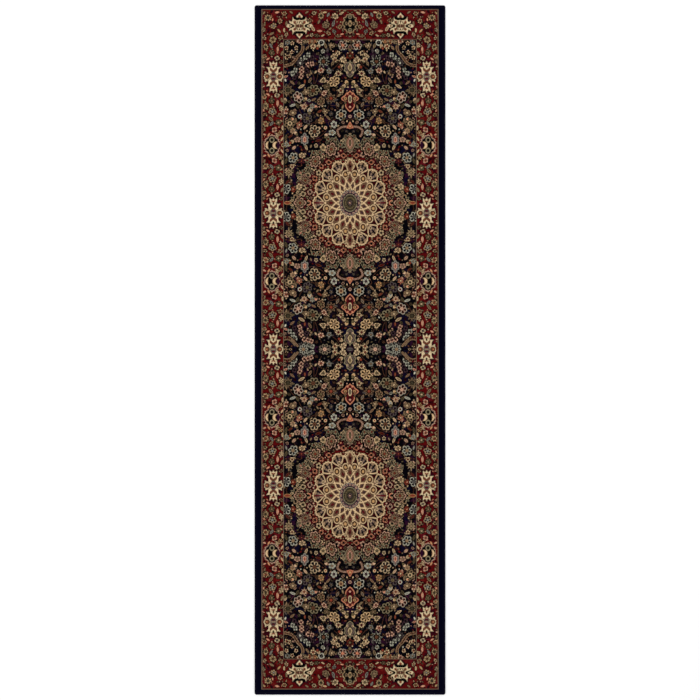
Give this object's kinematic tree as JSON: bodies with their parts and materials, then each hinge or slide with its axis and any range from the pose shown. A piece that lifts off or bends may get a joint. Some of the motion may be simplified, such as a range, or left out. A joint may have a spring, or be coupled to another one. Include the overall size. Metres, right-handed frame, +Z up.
{
  "type": "area rug",
  "caption": "Long rectangular hall runner with a cut pile, a floral medallion field framed by a red border, and navy overcast edges.",
  "frame": {"origin": "centre of the underside, on the floor, at the bottom centre of the bounding box", "axes": "+Y along the rug's length towards its head end, +X to the right across its width, +Z up out of the pile"},
  "size_m": [0.787, 2.845, 0.0114],
  "materials": {
    "pile_navy": "matte cut pile, heat-set yarn",
    "pile_red": "matte cut pile, heat-set yarn",
    "pile_tan": "matte cut pile, heat-set yarn",
    "pile_maroon": "matte cut pile, heat-set yarn",
    "pile_cream": "matte cut pile, heat-set yarn",
    "overcast_yarn": "wound navy yarn, slight sheen",
    "cord_fibre": "twisted plain fibre",
    "ground_cloth": "plain woven jute-coloured cloth",
    "latex_coat": "matte latex size over the weave"
  },
  "bodies": {
    "root": {"edge_cord_foot": "cord_fibre", "edge_cord_head": "cord_fibre", "edge_cord_left": "cord_fibre", "edge_cord_right": "cord_fibre", "latex_back_coat": "latex_coat", "overcast_foot": "overcast_yarn", "overcast_head": "overcast_yarn", "overcast_left": "overcast_yarn", "overcast_right": "overcast_yarn", "pile_band_foot": "pile_navy", "pile_band_head": "pile_navy", "pile_band_left": "pile_navy", "pile_band_right": "pile_navy", "pile_border_foot": "pile_red", "pile_border_head": "pile_red", "pile_border_left": "pile_red", "pile_border_right": "pile_red", "pile_field": "pile_navy", "pile_halo_foot": "pile_maroon", "pile_halo_head": "pile_maroon", "pile_inner_guard_foot": "pile_tan", "pile_inner_guard_head": "pile_tan", "pile_inner_guard_left": "pile_tan", "pile_inner_guard_right": "pile_tan", "pile_outer_guard_foot": "pile_tan", "pile_outer_guard_head": "pile_tan", "pile_outer_guard_left": "pile_tan", "pile_outer_guard_right": "pile_tan", "pile_rosette_foot": "pile_cream", "pile_rosette_head": "pile_cream", "woven_ground_cloth": "ground_cloth"}
  },
  "joints": []
}
